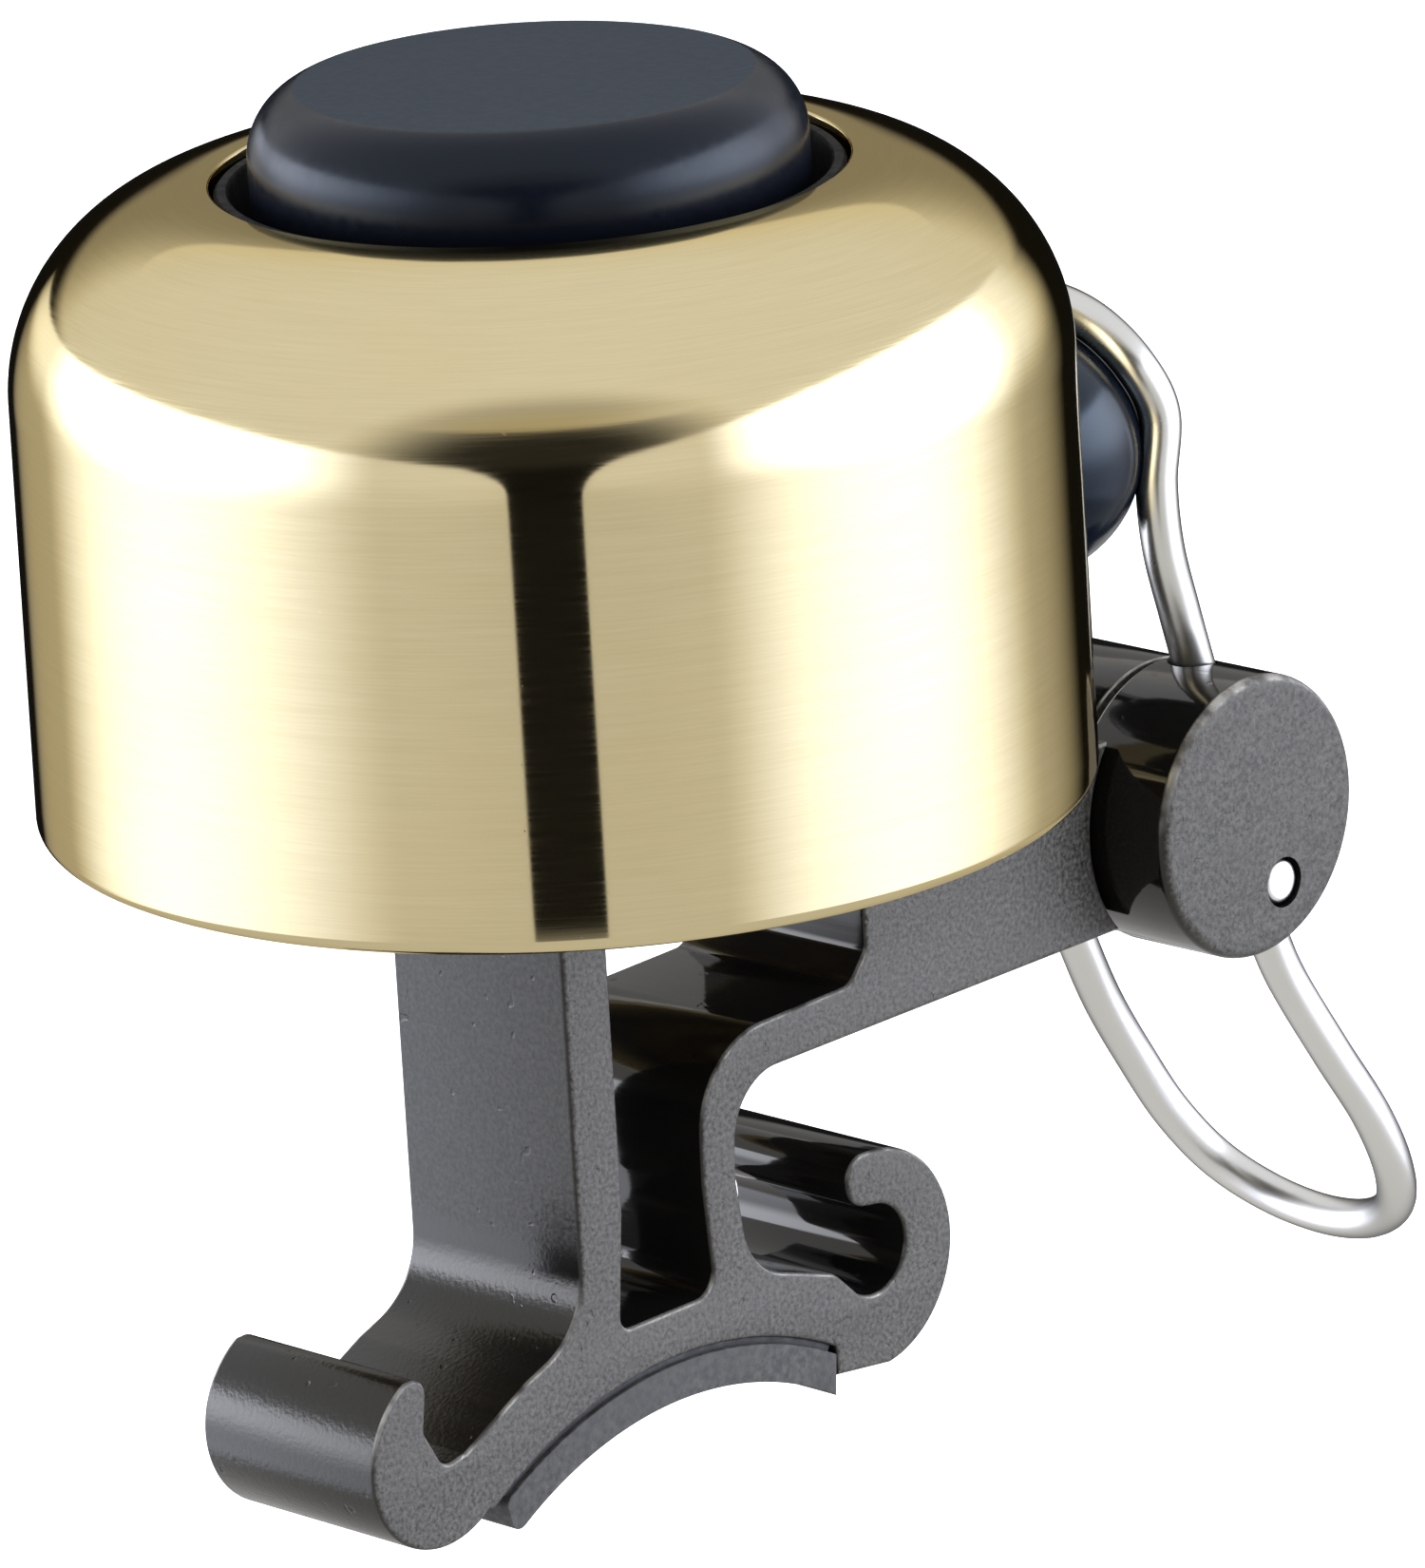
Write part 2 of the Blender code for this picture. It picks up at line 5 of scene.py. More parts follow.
import bmesh
import bpy
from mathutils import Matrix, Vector


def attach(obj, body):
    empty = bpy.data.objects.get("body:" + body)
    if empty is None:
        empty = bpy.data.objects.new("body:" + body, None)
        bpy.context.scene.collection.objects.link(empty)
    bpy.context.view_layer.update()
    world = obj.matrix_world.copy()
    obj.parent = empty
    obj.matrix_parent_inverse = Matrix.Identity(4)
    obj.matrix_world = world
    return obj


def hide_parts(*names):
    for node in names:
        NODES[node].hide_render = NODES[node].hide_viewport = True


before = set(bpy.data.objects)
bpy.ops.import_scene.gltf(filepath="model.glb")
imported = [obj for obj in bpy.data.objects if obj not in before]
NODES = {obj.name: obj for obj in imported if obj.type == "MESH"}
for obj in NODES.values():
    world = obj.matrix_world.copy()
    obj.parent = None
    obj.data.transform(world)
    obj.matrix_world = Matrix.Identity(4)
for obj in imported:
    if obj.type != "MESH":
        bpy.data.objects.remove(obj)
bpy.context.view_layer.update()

MM = 0.001

# Sizes in millimetres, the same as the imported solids
BAR_RADIUS = 15.9
PAD_THICKNESS = 1.5
PAD_BOND_GAP = 0.15
SEAT_RADIUS = BAR_RADIUS + PAD_THICKNESS + PAD_BOND_GAP
SEAT_LEFT = -9.5
SEAT_RIGHT = 8.42
HALF_WIDTH = 4.3
POST_LEFT = -4.5
POST_RIGHT = -2.2
FLANGE_TOP = 38.7
FLANGE_UNDERSIDE = 36.3
FLANGE_END = 6.0
ARM_UNDERSIDE = 11.05
ARM_BLOCK_LEFT = 11.1
ARM_BLOCK_TOP = 18.4

DOME_Y = 0.6
RIM_Z = 22.1
DOME_RADIUS = 19.0
DOME_SHOULDER_RADIUS = 18.87
SHOULDER_Z = 37.8
SHOULDER_ARC = 7.4
WALL = 2.4
HOLE_RADIUS = 11.3
FLOOR_TOP = 42.0
FLOOR_UNDERSIDE = 40.0
FLOOR_HOLE = 3.6
BUTTON_TOP = 48.45
BUTTON_RADIUS = 9.9
BUTTON_ROUND = 2.58
BUTTON_ROUND_Z = 45.99
BUTTON_SKIRT_END = 43.3
CUP_FLOOR_TOP = 42.9
CUP_FLOOR_UNDERSIDE = 42.15

AXIS_Y = 29.3
AXIS_Z = 14.85
HUB_RADIUS = 5.4
HUB_INNER = 2.9
HUB_OUTER = 7.6
HUB_SOCKET_END = 4.7
HUB_SOCKET_RADIUS = 1.6
EYE_RADIUS = 5.3
EYE_BORE = 3.4
TONGUE_HALF_WIDTH = 2.55
WIRE_RADIUS = 0.8
LOOP_RADIUS = WIRE_RADIUS - 0.016  # a touch thinner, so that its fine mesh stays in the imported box
BALL_RADIUS = 4.9
BALL = (0, 24.85, 29.0)
CRADLE_RADIUS = 4.25
CRADLE_OFFSET = 3.75
CRADLE_TILT = math.radians(18.3)
PIN_Y = 30.5
PIN_Z = 12.0
PIN_RADIUS = 0.86
PIN_END = 7.55
PIN_INNER_END = 6.35
PIN_BORE_END = 5.3
PIN_BORE_CLEARANCE = 0.11
WIRE_BORE_CLEARANCE = 0.15
WEIGHT_BORE_RADIUS = 1.65
PATH_STEPS = 14


# ---------------------------------------------------------------- node helpers


class Graph:
    """A node tree, with short calls for the nodes used here."""

    def __init__(self, tree):
        self.tree = tree

    def put(self, node, socket, value):
        target = node.inputs[socket]
        if isinstance(value, bpy.types.NodeSocket):
            self.tree.links.new(value, target)
        else:
            target.default_value = value

    def node(self, kind, **values):
        node = self.tree.nodes.new(kind)
        for key, value in values.items():
            setattr(node, key, value)
        return node

    def coordinates(self):
        return self.node("ShaderNodeTexCoord").outputs["Object"]

    def math(self, operation, a, b=0.0):
        node = self.node("ShaderNodeMath", operation=operation)
        self.put(node, 0, a)
        self.put(node, 1, b)
        return node.outputs[0]

    def stretched(self, a, b, c, factors):
        """A vector with its three parts scaled on their own."""
        scaled = [self.math("MULTIPLY", part, factor) for part, factor in zip((a, b, c), factors)]
        return self.join(*scaled)

    def split(self, vector):
        node = self.node("ShaderNodeSeparateXYZ")
        self.put(node, 0, vector)
        return node.outputs

    def join(self, x, y, z):
        node = self.node("ShaderNodeCombineXYZ")
        for i, value in enumerate((x, y, z)):
            self.put(node, i, value)
        return node.outputs[0]

    def noise(self, vector, scale, detail, roughness=0.5):
        node = self.node("ShaderNodeTexNoise", noise_dimensions="3D")
        self.put(node, "Vector", vector)
        self.put(node, "Scale", scale)
        self.put(node, "Detail", detail)
        self.put(node, "Roughness", roughness)
        return node.outputs[0]

    def ramp(self, value, low, high, out_low, out_high, smooth=False):
        """Value mapped from low..high to out_low..out_high, and held there outside."""
        kind = "SMOOTHSTEP" if smooth else "LINEAR"
        node = self.node("ShaderNodeMapRange", interpolation_type=kind)
        self.put(node, 0, value)
        for i, number in enumerate((low, high, out_low, out_high)):
            self.put(node, i + 1, number)
        return node.outputs[0]

    def mix(self, share, a, b):
        """Colour a where the share is 0, b where it is 1."""
        node = self.node("ShaderNodeMix", data_type="RGBA")
        self.put(node, 0, share)
        self.put(node, 6, (*a, 1) if isinstance(a, tuple) else a)
        self.put(node, 7, (*b, 1) if isinstance(b, tuple) else b)
        return node.outputs[2]

    def bump(self, height, distance, strength, before=None):
        node = self.node("ShaderNodeBump")
        self.put(node, "Height", height)
        self.put(node, "Distance", distance)
        self.put(node, "Strength", strength)
        if before is not None:
            self.put(node, "Normal", before)
        return node.outputs[0]

    def dot(self, vector, direction):
        node = self.node("ShaderNodeVectorMath", operation="DOT_PRODUCT")
        self.put(node, 0, vector)
        self.put(node, 1, direction)
        return node.outputs["Value"]


class Shade(Graph):
    """The node tree of one Principled material."""

    def __init__(self, name, colour, metallic, roughness):
        self.material = bpy.data.materials.new(name)
        self.material.use_nodes = True
        super().__init__(self.material.node_tree)
        self.shader = self.tree.nodes["Principled BSDF"]
        self.put(self.shader, "Base Color", (*colour, 1))
        self.put(self.shader, "Metallic", metallic)
        self.put(self.shader, "Roughness", roughness)
        self.material.diffuse_color = (*colour, 1)

    def finish(self, colour, roughness, normal):
        self.put(self.shader, "Base Color", colour)
        self.put(self.shader, "Roughness", roughness)
        self.put(self.shader, "Normal", normal)
        return self.material


# ---------------------------------------------------------------- materials


def times(colour, factor):
    return tuple(min(1, c * factor) for c in colour)


def brass():
    """Turned and finely brushed brass: almost a mirror round the dome, soft along its axis.

    Its colour darkens where it is seen edge on, as painted shade along its outline.
    """
    s = Shade("brushed_brass", (0.64, 0.53, 0.29), 1.0, 0.075)
    x, y, z = s.split(s.coordinates())
    y = s.math("SUBTRACT", y, DOME_Y * MM)
    radius = s.math("SQRT", s.math("ADD", s.math("MULTIPLY", x, x), s.math("MULTIPLY", y, y)))
    height = s.math("SUBTRACT", z, radius)
    around = s.math("ARCTAN2", y, x)
    fine_at = s.join(s.math("MULTIPLY", height, 11000), s.math("MULTIPLY", around, 5), 0.0)
    fine = s.noise(fine_at, 1.0, 3)
    broad_at = s.join(s.math("MULTIPLY", height, 2600), s.math("MULTIPLY", around, 2), 4.0)
    broad = s.noise(broad_at, 1.0, 3)
    cloud = s.noise(s.coordinates(), 110, 3)
    speck = s.ramp(s.noise(s.coordinates(), 3400, 1), 0.775, 0.81, 0.0, 1.0)
    tone = s.math("ADD", s.math("MULTIPLY", fine, 0.6), s.math("MULTIPLY", broad, 0.4))
    colour = s.mix(s.ramp(tone, 0.32, 0.68, 0, 1), (0.60, 0.51, 0.295), (0.65, 0.555, 0.335))
    colour = s.mix(s.ramp(cloud, 0.35, 0.75, 0, 0.3), colour, (0.60, 0.47, 0.24))
    facing = s.node("ShaderNodeLayerWeight").outputs["Facing"]
    # Painted shade: the brass turns dark brown towards the dome's outline.
    colour = s.mix(s.ramp(facing, 0.82, 0.98, 0, 1), colour, (0.2, 0.16, 0.085))
    s.put(s.shader, "Specular Tint", (0.72, 0.64, 0.47, 1))
    roughness = s.ramp(fine, 0.35, 0.75, 0.055, 0.095)
    roughness = s.math("ADD", roughness, s.math("MULTIPLY", speck, 0.08))
    normal = s.bump(fine, 0.0000009, 0.45, s.bump(speck, 0.0000012, 0.3))
    tangent = s.node("ShaderNodeTangent", direction_type="RADIAL", axis="Z")
    s.put(s.shader, "Tangent", tangent.outputs[0])
    s.put(s.shader, "Anisotropic", 0.85)
    s.put(s.shader, "Anisotropic Rotation", 0.25)
    return s.finish(colour, roughness, normal)


def dome_inside():
    """The dome's unpolished inside: the same brass, duller, with turning rings."""
    s = Shade("turned_brass", (0.46, 0.36, 0.17), 1.0, 0.38)
    z = s.split(s.coordinates())[2]
    rings = s.noise(s.join(0.0, 0.0, s.math("MULTIPLY", z, 3000)), 1.0, 2)
    stain = s.noise(s.coordinates(), 120, 4)
    colour = s.mix(stain, (0.36, 0.27, 0.12), (0.52, 0.41, 0.2))
    roughness = s.ramp(stain, 0.3, 0.7, 0.3, 0.48)
    return s.finish(colour, roughness, s.bump(rings, 0.000006, 0.5))


def button_paint():
    """Blue-black lacquer: glossy on the sides, eggshell on the flat top, which is lighter by painted
    light.
    """
    s = Shade("button_lacquer", (0.010, 0.014, 0.026), 0.0, 0.24)
    coordinates = s.coordinates()
    up = s.split(s.node("ShaderNodeNewGeometry").outputs["Normal"])[2]
    top = s.ramp(up, 0.955, 0.99, 0, 1)
    peel = s.noise(coordinates, 2400, 2)
    # Painted light: the flat top gets a lighter blue-grey than the near-black sides.
    colour = s.mix(top, (0.004, 0.005, 0.009), (0.013, 0.022, 0.034))
    roughness = s.ramp(peel, 0.3, 0.7, 0.2, 0.27)
    roughness = s.math("ADD", roughness, s.math("MULTIPLY", top, 0.2))
    s.put(s.shader, "Specular IOR Level", s.ramp(top, 0, 1, 0.22, 0.17))
    s.put(s.shader, "Specular Tint", (0.82, 0.93, 1, 1))
    return s.finish(colour, roughness, s.bump(peel, 0.000004, 0.6))


def plastic(name, colour, roughness, grain=1800, depth=0.000004):
    """Plain plastic, rubber or bond with a fine grain in its surface."""
    s = Shade(name, colour, 0.0, roughness)
    speckle = s.noise(s.coordinates(), grain, 3)
    cloud = s.noise(s.coordinates(), grain / 12, 2)
    shaded = s.mix(cloud, times(colour, 0.8), times(colour, 1.15))
    spread = s.ramp(speckle, 0.3, 0.7, roughness * 0.85, min(1, roughness * 1.15))
    return s.finish(shaded, spread, s.bump(speckle, depth, 0.6))


def anodised(name):
    """Black anodised metal: blasted grey on the sawn X faces and the post's outside, else glossy.

    Below the post's foot the outside is half glossy. Broken edges that face up carry a painted
    highlight in places, drawn as lighter bare metal.
    """
    cut_colour = (0.046, 0.0443, 0.0402)
    side_colour = (0.007, 0.0068, 0.0062)
    highlight_metal = (0.36, 0.35, 0.32)
    s = Shade(name, cut_colour, 0.0, 0.4)
    coordinates = s.coordinates()
    x, y, z = s.split(coordinates)
    normal = s.split(s.node("ShaderNodeNewGeometry").outputs["Normal"])
    sawn = s.math("ABSOLUTE", normal[0])
    cut = s.ramp(sawn, 0.55, 0.9, 0, 1)
    outside = s.ramp(y, (POST_LEFT - 0.05) * MM, (POST_LEFT + 0.05) * MM, 1, 0)
    flat = s.math("MULTIPLY", outside, s.ramp(z, 6.4 * MM, 7.4 * MM, 0, 1, True))
    blasted = s.math("MAXIMUM", cut, s.math("MULTIPLY", outside, s.ramp(flat, 0, 1, 0.3, 0.8)))
    grain = s.noise(coordinates, 5600, 2, 0.5)
    draw = s.noise(s.stretched(x, y, z, (40, 2500, 2500)), 1.0, 2)
    pit = s.ramp(s.noise(coordinates, 1500, 1), 0.72, 0.77, 0, 1)
    cloud = s.noise(coordinates, 420, 3)
    grey = s.mix(s.ramp(grain, 0.3, 0.7, 0, 1), times(cut_colour, 0.1), times(cut_colour, 2.0))
    grey = s.mix(s.ramp(cloud, 0.3, 0.7, 0, 0.3), grey, times(cut_colour, 0.8))
    edge = s.math("MULTIPLY", s.ramp(sawn, 0.12, 0.3, 0, 1), s.ramp(sawn, 0.78, 0.95, 1, 0))
    patchy = s.ramp(s.noise(coordinates, 900, 3), 0.38, 0.6, 0.15, 1)
    # Painted highlight: broken edges that face up get a lighter, half metallic colour in patches.
    edge_highlight = s.math("MULTIPLY", edge, s.ramp(normal[2], 0.1, 0.5, 0, 1))
    edge_highlight = s.math("MULTIPLY", edge_highlight, patchy)
    matt = s.math("MAXIMUM", cut, s.math("MULTIPLY", flat, 0.75))
    colour = s.mix(edge_highlight, s.mix(matt, side_colour, grey), highlight_metal)
    s.put(s.shader, "Metallic", s.math("MULTIPLY", edge_highlight, 0.7))
    s.put(s.shader, "Specular IOR Level", s.ramp(flat, 0, 1, 0.45, 0.22))
    s.put(s.shader, "Specular Tint", (1, 0.96, 0.86, 1))
    outside_rough = s.math("ADD", s.math("MULTIPLY", flat, 0.28), 0.16)
    rough_side = s.ramp(draw, 0.3, 0.7, 0.06, 0.1)
    rough_side = s.math("ADD", rough_side, s.math("MULTIPLY", outside, outside_rough))
    rough_side = s.math("ADD", rough_side, s.math("MULTIPLY", edge, 0.2))
    rough_side = s.math("MULTIPLY", rough_side, s.math("SUBTRACT", 1.0, cut))
    rough_cut = s.math("MULTIPLY", s.ramp(grain, 0.3, 0.7, 0.46, 0.6), cut)
    roughness = s.math("ADD", rough_side, rough_cut)
    lines = s.math("MULTIPLY", s.math("SUBTRACT", 1.0, blasted), 0.12)
    height = s.math("ADD", s.math("MULTIPLY", grain, blasted), s.math("MULTIPLY", draw, lines))
    pits = s.math("MULTIPLY", pit, s.ramp(blasted, 0, 0.4, 0.1, 0.8))
    height = s.math("SUBTRACT", height, pits)
    return s.finish(colour, roughness, s.bump(height, 0.00005, 0.8))


def drawn_wire(name, colour, low, high):
    """Drawn stainless wire with faint waviness and handling marks, with painted shade towards its edges.
    """
    s = Shade(name, colour, 1.0, 0.18)
    coordinates = s.coordinates()
    wave = s.noise(coordinates, 700, 3)
    fine = s.noise(coordinates, 5200, 2)
    dull = s.noise(coordinates, 160, 3)
    shaded = s.mix(dull, times(colour, 0.9), colour)
    facing = s.node("ShaderNodeLayerWeight").outputs["Facing"]
    # Painted shade: the colour darkens towards the wire's outline.
    shaded = s.mix(s.ramp(facing, 0.45, 0.95, 0, 0.85, True), shaded, times(colour, 0.2))
    s.put(s.shader, "Specular Tint", (0.45, 0.45, 0.45, 1))
    normal = s.bump(wave, 0.00002, 0.35, s.bump(fine, 0.000003, 0.4))
    return s.finish(shaded, s.ramp(dull, 0.3, 0.7, low, high), normal)


def small_steel(name, colour, roughness):
    """Zinc-plated turned or stamped steel."""
    s = Shade(name, colour, 1.0, roughness)
    coordinates = s.coordinates()
    mottle = s.noise(coordinates, 420, 4)
    fine = s.noise(coordinates, 3000, 2)
    shaded = s.mix(mottle, times(colour, 0.8), times(colour, 1.12))
    spread = s.ramp(fine, 0.3, 0.7, roughness * 0.8, roughness * 1.3)
    return s.finish(shaded, spread, s.bump(fine, 0.000005, 0.5))


def pad_rubber():
    """Matt pad rubber with moulding grain and dust-filled pores."""
    s = Shade("pad_rubber", (0.055, 0.054, 0.050), 0.0, 0.75)
    coordinates = s.coordinates()
    grain = s.noise(coordinates, 3200, 4, 0.65)
    cloud = s.noise(coordinates, 260, 2)
    colour = s.mix(s.ramp(grain, 0.35, 0.65, 0, 1), (0.012, 0.0117, 0.011), (0.088, 0.086, 0.079))
    colour = s.mix(s.ramp(cloud, 0.3, 0.7, 0, 0.5), colour, (0.035, 0.034, 0.031))
    return s.finish(colour, s.ramp(grain, 0.3, 0.7, 0.62, 0.86), s.bump(grain, 0.00005, 0.8))


# ---------------------------------------------------------------- mesh helpers


def arc(cy, cz, radius, start, end, steps):
    """Points on a circle from start to end, both in degrees, ends included."""
    points = []
    for i in range(steps + 1):
        a = math.radians(start + (end - start) * i / steps)
        points.append((cy + radius * math.cos(a), cz + radius * math.sin(a)))
    return points


def filleted(corners, turn=4):
    """Closed outline through corners (y, z, radius), with an arc point about every `turn` degrees."""
    points = []
    count = len(corners)
    for i, (y, z, radius) in enumerate(corners):
        if radius == 0:
            points.append((y, z))
            continue
        here = Vector((y, z))
        back = (Vector(corners[i - 1][:2]) - here).normalized()
        ahead = (Vector(corners[(i + 1) % count][:2]) - here).normalized()
        half = back.angle(ahead) / 2
        reach = radius / math.tan(half)
        centre = here + (back + ahead).normalized() * (radius / math.sin(half))
        first = here + back * reach - centre
        sweep = math.pi - 2 * half
        if back.x * ahead.y - back.y * ahead.x > 0:
            sweep = -sweep
        steps = max(2, round(math.degrees(abs(sweep)) / turn))
        start = math.atan2(first.y, first.x)
        for k in range(steps + 1):
            a = start + sweep * k / steps
            points.append((centre.x + radius * math.cos(a), centre.y + radius * math.sin(a)))
    return points


def smooth_path(knots):
    """Points of a Catmull-Rom curve through the knots, PATH_STEPS to a span."""
    knots = [Vector(k) for k in knots]
    padded = [knots[0] * 2 - knots[1], *knots, knots[-1] * 2 - knots[-2]]
    points = []
    for i in range(1, len(padded) - 2):
        p0, p1, p2, p3 = padded[i - 1 : i + 3]
        for k in range(PATH_STEPS):
            t = k / PATH_STEPS
            bend = (p0 * 2 - p1 * 5 + p2 * 4 - p3) * t * t + (p1 * 3 - p0 - p2 * 3 + p3) * t**3
            points.append((p1 * 2 + (p2 - p0) * t + bend) / 2)
    points.append(knots[-1])
    return points


def mirrored(half):
    """Knots from +X to the mid-plane, carried on to their mirror image."""
    return half + [(-x, y, z) for x, y, z in reversed(half[:-1])]


def new_piece(name, bm, material, sharp):
    """Object from a bmesh, shaded smooth but for edges that turn more than `sharp` degrees."""
    bmesh.ops.recalc_face_normals(bm, faces=bm.faces)
    mesh = bpy.data.meshes.new(name)
    bm.to_mesh(mesh)
    bm.free()
    piece = bpy.data.objects.new(name, mesh)
    bpy.context.scene.collection.objects.link(piece)
    mesh.materials.append(material)
    mesh.shade_smooth()
    mesh.set_sharp_from_angle(angle=math.radians(sharp))
    return piece


def finish_piece(piece, body, slot, *nodes):
    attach(piece, body)
    if nodes:
        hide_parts(*nodes)


def turned(name, profile, centre, material, steps=144, along_x=False, closed=False, sharp=40):
    """Closed turned solid from (radius, height) points, about Z or about X."""
    bm = bmesh.new()
    rows = []
    for radius, height in profile:
        row = []
        for i in range(steps if radius > 0 else 1):
            a = 2 * math.pi * i / steps
            u, v = radius * math.cos(a), radius * math.sin(a)
            offset = Vector((height, u, v)) if along_x else Vector((u, v, height))
            row.append(bm.verts.new((Vector(centre) + offset) * MM))
        rows.append(row)
    pairs = list(zip(rows, rows[1:])) + ([(rows[-1], rows[0])] if closed else [])
    for upper, lower in pairs:
        for i in range(steps):
            j = (i + 1) % steps
            corners = [upper[i % len(upper)], upper[j % len(upper)]]
            corners += [lower[j % len(lower)], lower[i % len(lower)]]
            corners = list(dict.fromkeys(corners))
            if len(corners) > 2:
                bm.faces.new(corners)
    return new_piece(name, bm, material, sharp)


def tube(name, points, radius, material, sides=28):
    """Round wire along a path, with flat ends."""
    points = [Vector(p) for p in points]
    after = points[1:] + points[-1:]
    before = points[:1] + points[:-1]
    tangents = [(b - a).normalized() for a, b in zip(before, after)]
    side = tangents[0].orthogonal().normalized()
    bm = bmesh.new()
    rows = []
    for point, tangent in zip(points, tangents):
        side = (side - tangent * side.dot(tangent)).normalized()
        other = tangent.cross(side)
        row = []
        for k in range(sides):
            a = 2 * math.pi * k / sides
            outward = side * math.cos(a) + other * math.sin(a)
            row.append(bm.verts.new((point + outward * radius) * MM))
        rows.append(row)
    for upper, lower in zip(rows, rows[1:]):
        for k in range(sides):
            j = (k + 1) % sides
            bm.faces.new((upper[k], upper[j], lower[j], lower[k]))
    bm.faces.new(list(reversed(rows[0])))
    bm.faces.new(rows[-1])
    return new_piece(name, bm, material, 60)


def carve(piece, cutter):
    """Takes the cutter's shape out of a piece for good, and the cutter with it."""
    cut = piece.modifiers.new("Cut", "BOOLEAN")
    cut.operation = "DIFFERENCE"
    cut.object = cutter
    bpy.context.view_layer.update()
    graph = bpy.context.evaluated_depsgraph_get()
    mesh = bpy.data.meshes.new_from_object(piece.evaluated_get(graph))
    piece.modifiers.clear()
    old, piece.data = piece.data, mesh
    bpy.data.meshes.remove(old)
    bpy.data.objects.remove(cutter, do_unlink=True)


def drill(piece, start, end, radius, sides=32):
    """Cuts a round hole from a piece."""
    start, end = Vector(start) * MM, Vector(end) * MM
    bpy.ops.mesh.primitive_cylinder_add(
        vertices=sides, radius=radius * MM, depth=(end - start).length, location=(start + end) / 2
    )
    cutter = bpy.context.object
    cutter.rotation_euler = (end - start).to_track_quat("Z", "Y").to_euler()
    carve(piece, cutter)
    piece.data.set_sharp_from_angle(angle=math.radians(35))


def extruded(name, outline, half_width, material, edge=0.12, holes=()):
    """Section in the YZ plane drawn along X, its sawn edges broken by a small round."""
    curve = bpy.data.curves.new(name, "CURVE")
    curve.dimensions = "2D"
    curve.fill_mode = "BOTH"
    curve.extrude = (half_width - edge) * MM
    curve.bevel_depth = edge * MM
    curve.bevel_resolution = 3
    curve.offset = -edge * MM
    for points in (outline, *holes):
        spline = curve.splines.new("POLY")
        spline.points.add(len(points) - 1)
        for point, (y, z) in zip(spline.points, points):
            point.co = (y * MM, z * MM, 0, 1)
        spline.use_cyclic_u = True
    holder = bpy.data.objects.new(name + "_outline", curve)
    bpy.context.scene.collection.objects.link(holder)
    holder.rotation_euler = (math.pi / 2, 0, math.pi / 2)
    bpy.context.view_layer.update()
    graph = bpy.context.evaluated_depsgraph_get()
    flat = bpy.data.meshes.new_from_object(holder.evaluated_get(graph))
    bm = bmesh.new()
    bm.from_mesh(flat)
    bm.transform(holder.matrix_world)
    bmesh.ops.remove_doubles(bm, verts=bm.verts, dist=1e-6)
    bpy.data.objects.remove(holder, do_unlink=True)
    return new_piece(name, bm, material, 35)


# ---------------------------------------------------------------- dome, button and stack


def make_dome():
    """Polished dome with a floor in its crown, and the unpolished brass inside and on the floor."""
    lip = 0.12
    rim = 0.6
    corner = 0.5
    inner = DOME_RADIUS - WALL
    shoulder_r = DOME_SHOULDER_RADIUS - SHOULDER_ARC
    outer = arc(HOLE_RADIUS + lip, SHOULDER_Z + SHOULDER_ARC - lip - 0.01, lip, 180, 90, 5)
    outer += arc(shoulder_r, SHOULDER_Z, SHOULDER_ARC, 86, 0, 40)
    steps = 16
    for i in range(1, steps):
        share = i / steps
        radius = DOME_SHOULDER_RADIUS + (DOME_RADIUS - DOME_SHOULDER_RADIUS) * share
        outer.append((radius, SHOULDER_Z + (RIM_Z + rim - SHOULDER_Z) * share))
    outer += arc(DOME_RADIUS - rim, RIM_Z + rim, rim, 0, -90, 8)
    inside = [(inner + 0.15, RIM_Z), (inner, RIM_Z + 0.15), (inner, SHOULDER_Z - 8)]
    inside += arc(shoulder_r, SHOULDER_Z, SHOULDER_ARC - WALL, 0, 58, 12)
    inside += [(13.6, FLOOR_UNDERSIDE + 0.6), (13.0, FLOOR_UNDERSIDE), (FLOOR_HOLE, FLOOR_UNDERSIDE)]
    inside += [(FLOOR_HOLE, FLOOR_TOP), (HOLE_RADIUS - corner, FLOOR_TOP)]
    inside += [(HOLE_RADIUS, FLOOR_TOP + corner)]
    dome = turned("dome_shell", outer + inside, (0, DOME_Y, 0), brass(), 192, closed=True, sharp=50)
    dome.data.materials.append(dome_inside())
    for face in dome.data.polygons:
        centre = face.center
        reach = math.hypot(centre.x, centre.y - DOME_Y * MM)
        if reach < (inner + 0.3) * MM and centre.z < (FLOOR_TOP + corner) * MM:
            face.material_index = 1
    finish_piece(dome, "base", "dome", "dome")


def make_button():
    """Cap with a flat top and a round side, open below, with a groove inside for its snap ring."""
    bore = 8.75
    groove = bore + 0.2
    profile = [(0, BUTTON_TOP), (4, BUTTON_TOP), (7.98, BUTTON_TOP)]
    profile += [(8.1, BUTTON_TOP - 0.01), (8.17, BUTTON_TOP - 0.03)]
    profile += arc(BUTTON_RADIUS - BUTTON_ROUND, BUTTON_ROUND_Z, BUTTON_ROUND, 69, 0, 24)
    profile += [(BUTTON_RADIUS, 44.2), (BUTTON_RADIUS - 0.04, 43.4)]
    profile += [(BUTTON_RADIUS - 0.14, BUTTON_SKIRT_END), (bore, BUTTON_SKIRT_END)]
    profile += [(bore, 44.75), (groove, 44.95), (groove, 45.55), (bore, 45.75), (8.0, 46.9), (0, 46.9)]
    button = turned("cap_shell", profile, (0, DOME_Y, 0), button_paint(), 160, sharp=50)
    finish_piece(button, "base", "cap_button", "cap_button")


